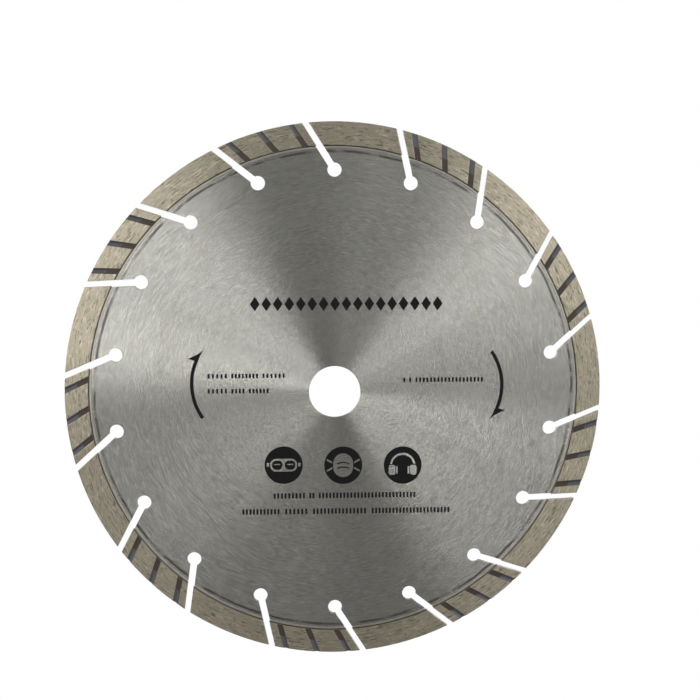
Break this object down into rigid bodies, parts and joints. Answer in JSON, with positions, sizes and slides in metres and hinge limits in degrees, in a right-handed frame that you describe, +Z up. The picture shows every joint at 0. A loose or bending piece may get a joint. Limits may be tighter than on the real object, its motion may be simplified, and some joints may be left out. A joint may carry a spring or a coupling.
{
  "type": "diamond blade",
  "caption": "Segmented diamond cutting disc: slotted steel core, sintered rim segments with leaning swarf grooves on alternate faces, and an arbor bore.",
  "frame": {"origin": "centre of the arbor bore, on the middle plane of the steel core", "axes": "+Y along the arbor bore from the printed front face to the back face, +Z up in the blade's plane, +X to the right as the front face is read"},
  "size_m": [0.23, 0.0026, 0.23],
  "materials": {
    "core_steel": "satin, ground in circles round the bore",
    "weld_foot_steel": "ground weld, a little brighter than its dark heat tint",
    "diamond_matrix": "rough sintered metal with grit, pits and grinding streaks",
    "print_ink": "thin black printed ink on the front of the core"
  },
  "bodies": {
    "root": {"core": "core_steel", "weld_foot_01": "weld_foot_steel", "weld_foot_02": "weld_foot_steel", "weld_foot_03": "weld_foot_steel", "weld_foot_04": "weld_foot_steel", "weld_foot_05": "weld_foot_steel", "weld_foot_06": "weld_foot_steel", "weld_foot_07": "weld_foot_steel", "weld_foot_08": "weld_foot_steel", "weld_foot_09": "weld_foot_steel", "weld_foot_10": "weld_foot_steel", "weld_foot_11": "weld_foot_steel", "weld_foot_12": "weld_foot_steel", "weld_foot_13": "weld_foot_steel", "weld_foot_14": "weld_foot_steel", "weld_foot_15": "weld_foot_steel", "weld_foot_16": "weld_foot_steel", "weld_foot_17": "weld_foot_steel", "weld_foot_18": "weld_foot_steel", "diamond_segment_01": "diamond_matrix", "diamond_segment_02": "diamond_matrix", "diamond_segment_03": "diamond_matrix", "diamond_segment_04": "diamond_matrix", "diamond_segment_05": "diamond_matrix", "diamond_segment_06": "diamond_matrix", "diamond_segment_07": "diamond_matrix", "diamond_segment_08": "diamond_matrix", "diamond_segment_09": "diamond_matrix", "diamond_segment_10": "diamond_matrix", "diamond_segment_11": "diamond_matrix", "diamond_segment_12": "diamond_matrix", "diamond_segment_13": "diamond_matrix", "diamond_segment_14": "diamond_matrix", "diamond_segment_15": "diamond_matrix", "diamond_segment_16": "diamond_matrix", "diamond_segment_17": "diamond_matrix", "diamond_segment_18": "diamond_matrix"}
  },
  "joints": []
}
